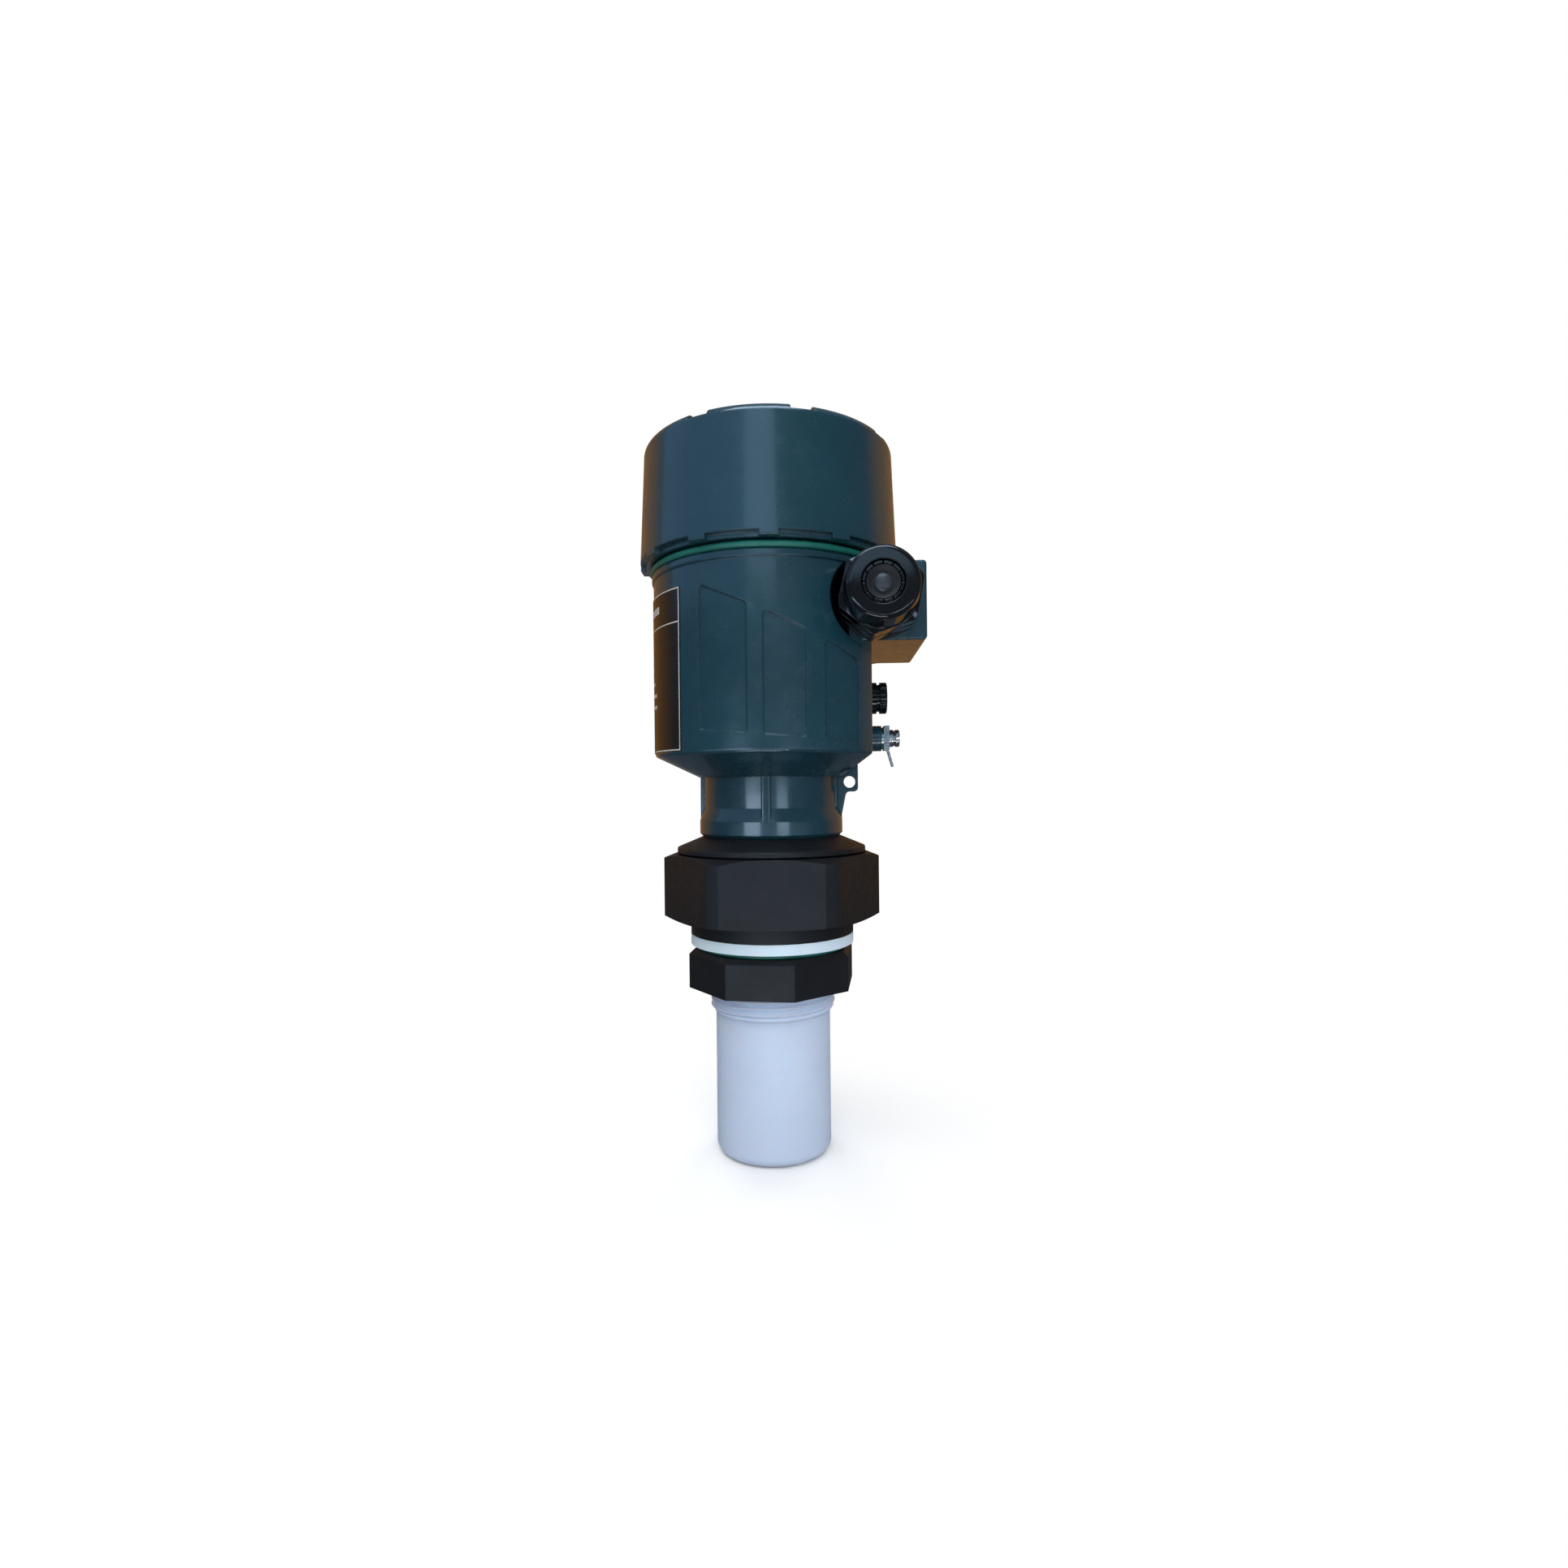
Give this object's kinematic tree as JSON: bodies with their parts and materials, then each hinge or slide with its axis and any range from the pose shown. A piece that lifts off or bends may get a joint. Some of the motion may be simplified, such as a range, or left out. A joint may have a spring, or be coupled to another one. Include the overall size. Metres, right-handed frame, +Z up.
{
  "type": "ultrasonic level transmitter",
  "caption": "Ultrasonic level transmitter: die-cast head with screw lid, cable entry block and earth terminal, on a black hexagon fitting with lock nut and white threaded probe.",
  "frame": {"origin": "on the probe axis at the sealing plane, the underside of the fitting's flange", "axes": "+Z up to the lid, +X to the cable entry block, -Y along the front cable gland"},
  "size_m": [0.1066, 0.1036, 0.2663],
  "materials": {
    "painted_casting": "satin",
    "label_film": "satin",
    "green_rubber": "satin",
    "black_rubber": "matte",
    "black_nylon": "satin",
    "black_polyamide": "satin",
    "white_ptfe": "satin",
    "window_glass": "polished",
    "stainless": "satin",
    "brass": "satin",
    "circuit_board": "satin",
    "terminal_plastic": "satin",
    "display_plastic": "satin",
    "lcd_glass": "gloss",
    "key_plastic": "satin",
    "potting": "matte",
    "piezo_ceramic": "matte",
    "lead_sheath": "matte"
  },
  "bodies": {
    "head": {"housing": "painted_casting", "seal_lug": "painted_casting", "rating_label": "label_film", "lid_o_ring": "green_rubber", "main_board": "circuit_board", "board_screws": "stainless", "electronics_module": "potting", "terminal_block": "terminal_plastic", "terminal_screws": "stainless", "display_standoffs": "brass", "display_board": "circuit_board", "display_bezel": "display_plastic", "lcd_panel": "lcd_glass", "key_switches": "display_plastic", "gland_washer": "black_rubber", "gland_body": "black_nylon", "blanking_washer": "black_rubber", "blanking_plug": "black_nylon", "vent_plug": "black_nylon", "vent_o_ring": "black_rubber", "neck_collar": "black_polyamide", "neck_o_ring": "black_rubber", "hex_fitting": "black_polyamide", "probe_shell": "white_ptfe", "probe_lead": "lead_sheath", "matching_layer": "potting", "piezo_disc": "piezo_ceramic", "backing_block": "black_rubber"},
    "window": {"sight_glass": "window_glass", "glass_gasket": "black_rubber"},
    "lid": {"lid": "painted_casting", "glass_retaining_ring": "stainless"},
    "seal_stack": {"flange_washer": "white_ptfe", "flange_o_ring": "green_rubber"},
    "lock_nut": {"lock_nut": "black_polyamide"},
    "gland_insert": {"gland_seal": "black_rubber", "gland_dust_plug": "black_nylon"},
    "dome_nut": {"gland_dome_nut": "black_nylon"},
    "ground_clamp": {"ground_clamp_plate": "stainless", "ground_spring_washer": "stainless"},
    "ground_screw": {"ground_screw": "stainless"},
    "key_1": {"display_key_1": "key_plastic"},
    "key_2": {"display_key_2": "key_plastic"},
    "key_3": {"display_key_3": "key_plastic"},
    "key_4": {"display_key_4": "key_plastic"}
  },
  "joints": [
    {"name": "lid_lift", "type": "slide", "parent": "head", "child": "window", "axis": [0, 0, 1], "range_m": [0, 0.014]},
    {"name": "lid_turn", "type": "hinge", "parent": "window", "child": "lid", "pos_m": [0, 0, 0.1382], "axis": [0, 0, 1], "range_deg": [0, 2520]},
    {"name": "lock_nut_travel", "type": "slide", "parent": "head", "child": "seal_stack", "axis": [0, 0, -1], "range_m": [0, 0.02078]},
    {"name": "lock_nut_turn", "type": "hinge", "parent": "seal_stack", "child": "lock_nut", "pos_m": [0, 0, -0.013], "axis": [0, 0, -1], "range_deg": [0, 3240]},
    {"name": "gland_nut_travel", "type": "slide", "parent": "head", "child": "gland_insert", "axis": [0, -1, 0], "range_m": [0, 0.003]},
    {"name": "gland_nut_turn", "type": "hinge", "parent": "gland_insert", "child": "dome_nut", "pos_m": [0.0404, -0.0275, 0.1207], "axis": [0, -1, 0], "range_deg": [0, 720]},
    {"name": "ground_screw_travel", "type": "slide", "parent": "head", "child": "ground_clamp", "axis": [1, 0, 0], "range_m": [0, 0.0028]},
    {"name": "ground_screw_turn", "type": "hinge", "parent": "ground_clamp", "child": "ground_screw", "pos_m": [0.0427, 0, 0.0736], "axis": [1, 0, 0], "range_deg": [0, 1440]},
    {"name": "key_1_press", "type": "slide", "parent": "head", "child": "key_1", "axis": [0, 0, -1], "range_m": [0, 0.0008], "stiffness_N_per_m": 400, "springref_m": -0.0006},
    {"name": "key_2_press", "type": "slide", "parent": "head", "child": "key_2", "axis": [0, 0, -1], "range_m": [0, 0.0008], "stiffness_N_per_m": 400, "springref_m": -0.0006},
    {"name": "key_3_press", "type": "slide", "parent": "head", "child": "key_3", "axis": [0, 0, -1], "range_m": [0, 0.0008], "stiffness_N_per_m": 400, "springref_m": -0.0006},
    {"name": "key_4_press", "type": "slide", "parent": "head", "child": "key_4", "axis": [0, 0, -1], "range_m": [0, 0.0008], "stiffness_N_per_m": 400, "springref_m": -0.0006}
  ],
  "couplings": [
    {"joint": "lid_lift", "follows": "lid_turn", "m_per_rad": 0.00031831},
    {"joint": "lock_nut_travel", "follows": "lock_nut_turn", "m_per_rad": 0.00036749},
    {"joint": "gland_nut_turn", "follows": "gland_nut_travel", "rad_per_m": 4188.8},
    {"joint": "ground_screw_turn", "follows": "ground_screw_travel", "rad_per_m": 8976}
  ]
}
